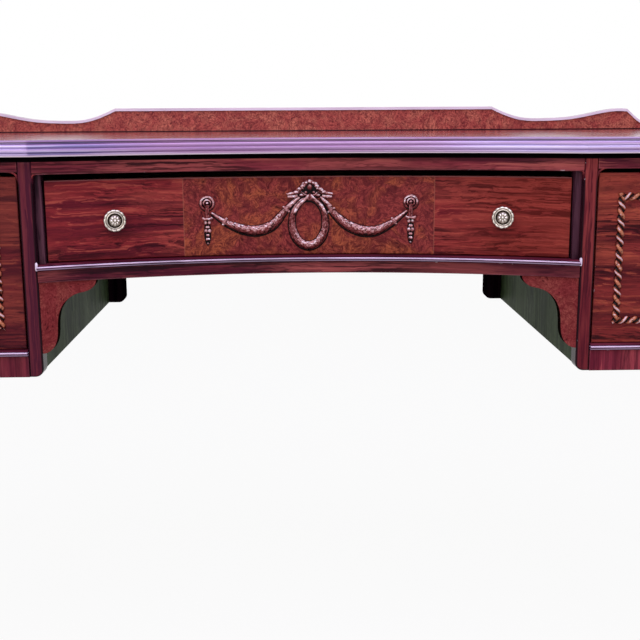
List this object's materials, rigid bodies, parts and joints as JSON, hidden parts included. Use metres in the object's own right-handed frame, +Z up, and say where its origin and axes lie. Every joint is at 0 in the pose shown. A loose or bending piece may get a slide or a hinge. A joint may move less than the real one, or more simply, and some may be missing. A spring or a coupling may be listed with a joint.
{
  "type": "kneehole writing desk",
  "caption": "Kneehole writing desk with a hollow-fronted centre drawer, deep pedestal drawers, a scalloped back gallery and turned fluted legs.",
  "frame": {"origin": "on the floor, under the middle of the top", "axes": "+X to the sitter's right along the desk, +Y to the back, +Z up"},
  "size_m": [1.36, 0.56, 0.8075],
  "materials": {
    "rosewood_frame": "polished dark rosewood stain",
    "rosewood_veneer": "polished figured rosewood veneer",
    "burl_veneer": "polished burl veneer",
    "top_veneer": "polished burl veneer",
    "crossbanding": "polished crossbanded veneer",
    "carved_rosewood": "polished carving with dark hollows",
    "rope_moulding": "polished rope-twist carving",
    "polished_moulding": "high gloss moulding",
    "panel_veneer": "polished plain veneer",
    "drawer_lining": "waxed oak",
    "antique_brass": "antique brass"
  },
  "bodies": {
    "case": {"back_left_leg": "rosewood_frame", "back_panel_left": "panel_veneer", "back_panel_right": "panel_veneer", "back_rail": "panel_veneer", "back_right_leg": "rosewood_frame", "bottom_rail_centre": "rosewood_frame", "bottom_rail_left": "crossbanding", "bottom_rail_right": "crossbanding", "centre_drawer_runners": "drawer_lining", "drawer_jambs": "drawer_lining", "end_moulding_left": "polished_moulding", "end_moulding_right": "polished_moulding", "end_panel_left": "panel_veneer", "end_panel_right": "panel_veneer", "front_left_leg": "rosewood_frame", "front_left_stile": "rosewood_frame", "front_moulding_centre": "polished_moulding", "front_moulding_left": "polished_moulding", "front_moulding_right": "polished_moulding", "front_right_leg": "rosewood_frame", "front_right_stile": "rosewood_frame", "gallery_board": "burl_veneer", "gallery_cap": "polished_moulding", "inner_panel_left": "panel_veneer", "inner_panel_right": "panel_veneer", "ledge_centre": "polished_moulding", "ledge_left": "polished_moulding", "ledge_right": "polished_moulding", "pedestal_bottom_left": "drawer_lining", "pedestal_bottom_right": "drawer_lining", "pedestal_runners": "drawer_lining", "rear_left_stile": "rosewood_frame", "rear_right_stile": "rosewood_frame", "spandrel_left": "burl_veneer", "spandrel_right": "burl_veneer", "top_panel": "top_veneer", "top_rail_centre": "rosewood_frame", "top_rail_left": "rosewood_frame", "top_rail_right": "rosewood_frame"},
    "centre_drawer": {"centre_drawer_back": "drawer_lining", "centre_drawer_bottom": "drawer_lining", "centre_drawer_front": "rosewood_veneer", "centre_drawer_knobs": "antique_brass", "centre_drawer_left_side": "drawer_lining", "centre_drawer_right_side": "drawer_lining", "laurel_carving": "carved_rosewood"},
    "left_drawer": {"left_drawer_back": "drawer_lining", "left_drawer_bottom": "drawer_lining", "left_drawer_front": "rosewood_veneer", "left_drawer_knob": "antique_brass", "left_drawer_left_side": "drawer_lining", "left_drawer_right_side": "drawer_lining", "left_drawer_rope_frame": "rope_moulding"},
    "right_drawer": {"right_drawer_back": "drawer_lining", "right_drawer_bottom": "drawer_lining", "right_drawer_front": "rosewood_veneer", "right_drawer_knob": "antique_brass", "right_drawer_left_side": "drawer_lining", "right_drawer_right_side": "drawer_lining", "right_drawer_rope_frame": "rope_moulding"}
  },
  "joints": [
    {"name": "centre_drawer_slide", "type": "slide", "parent": "case", "child": "centre_drawer", "axis": [0, -1, 0], "range_m": [0, 0.3]},
    {"name": "left_drawer_slide", "type": "slide", "parent": "case", "child": "left_drawer", "axis": [0, -1, 0], "range_m": [0, 0.34]},
    {"name": "right_drawer_slide", "type": "slide", "parent": "case", "child": "right_drawer", "axis": [0, -1, 0], "range_m": [0, 0.34]}
  ]
}
